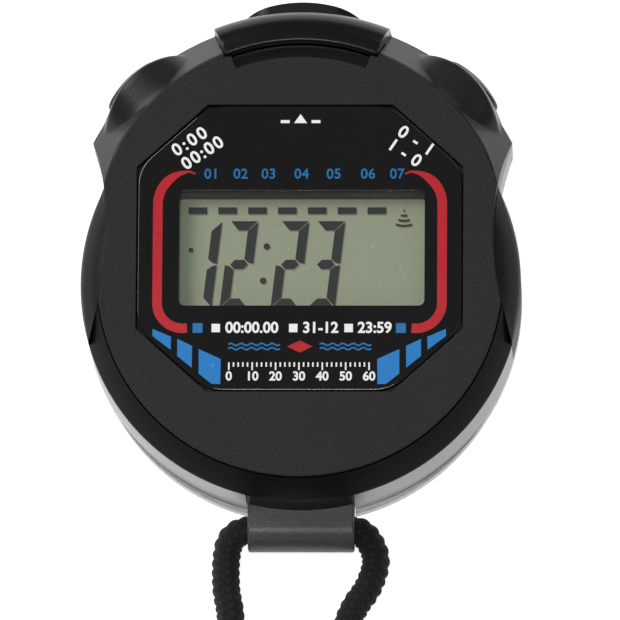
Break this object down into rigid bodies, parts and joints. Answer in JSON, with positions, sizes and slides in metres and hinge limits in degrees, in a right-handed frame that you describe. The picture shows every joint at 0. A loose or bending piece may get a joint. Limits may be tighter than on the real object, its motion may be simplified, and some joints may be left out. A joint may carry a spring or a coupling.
{
  "type": "stopwatch",
  "caption": "Handheld digital sports stopwatch with a liquid crystal display, push buttons and a neck cord looped through its lanyard lug.",
  "frame": {"origin": "centre of the round lower body on the flat back face", "axes": "+Z out of the display, +Y towards the mode button, +X to the right as the display is read"},
  "size_m": [0.0644, 0.1592, 0.0202],
  "materials": {
    "cover_black": "fine spark-eroded grain",
    "shell_black": "satin",
    "ring_black": "smooth satin",
    "hood_black": "smooth, half gloss",
    "grip_black": "fine grain",
    "case_silver": "silver paint on plastic",
    "button_black": "smooth matte",
    "lug_black": "satin",
    "lens_print": "gloss black print behind a clear window",
    "display_glass": "clear",
    "display_back": "grey green reflector",
    "frame_white": "satin",
    "elastomer": "matte",
    "board_green": "solder mask",
    "epoxy_black": "potted",
    "ceramic_tan": "matte",
    "steel": "nickel plated",
    "brass": "gold flash",
    "cord_black": "round braid",
    "clip_black": "smooth"
  },
  "bodies": {
    "case": {"front_cover": "cover_black", "lens_panel": "lens_print", "upper_shell": "shell_black", "lower_ring": "ring_black", "mode_hood": "hood_black", "left_grip": "grip_black", "right_grip": "grip_black", "mid_case": "case_silver", "back_cover": "case_silver", "case_gasket": "elastomer", "back_screws": "steel", "lanyard_lug": "lug_black", "lcd_front_glass": "display_glass", "lcd_rear_glass": "display_glass", "lcd_reflector": "display_back", "lcd_frame": "frame_white", "zebra_strips": "elastomer", "circuit_board": "board_green", "chip_blob": "epoxy_black", "quartz_crystal": "steel", "chip_capacitors": "ceramic_tan", "board_screws": "steel", "left_contact": "brass", "mode_contact": "brass", "right_contact": "brass", "battery": "steel", "battery_holder": "frame_white", "battery_plus": "brass", "battery_minus": "brass", "buzzer_disc": "brass", "buzzer_spring": "steel", "left_spring": "steel", "mode_spring": "steel", "right_spring": "steel", "left_seal": "elastomer", "mode_seal": "elastomer", "right_seal": "elastomer", "cord_left": "cord_black", "cord_right": "cord_black", "cord_coil": "cord_black", "cord_clip": "clip_black"},
    "left_key": {"left_button": "button_black", "left_clip": "steel"},
    "mode_key": {"mode_button": "button_black", "mode_clip": "steel"},
    "right_key": {"right_button": "button_black", "right_clip": "steel"}
  },
  "joints": [
    {"name": "left_press", "type": "slide", "parent": "case", "child": "left_key", "axis": [0.7071, -0.7071, 0], "range_m": [0, 0.0008], "stiffness_N_per_m": 500, "deforming": ["left_spring"]},
    {"name": "mode_press", "type": "slide", "parent": "case", "child": "mode_key", "axis": [0, -1, 0], "range_m": [0, 0.0008], "stiffness_N_per_m": 500, "deforming": ["mode_spring"]},
    {"name": "right_press", "type": "slide", "parent": "case", "child": "right_key", "axis": [-0.7071, -0.7071, 0], "range_m": [0, 0.0008], "stiffness_N_per_m": 500, "deforming": ["right_spring"]}
  ]
}
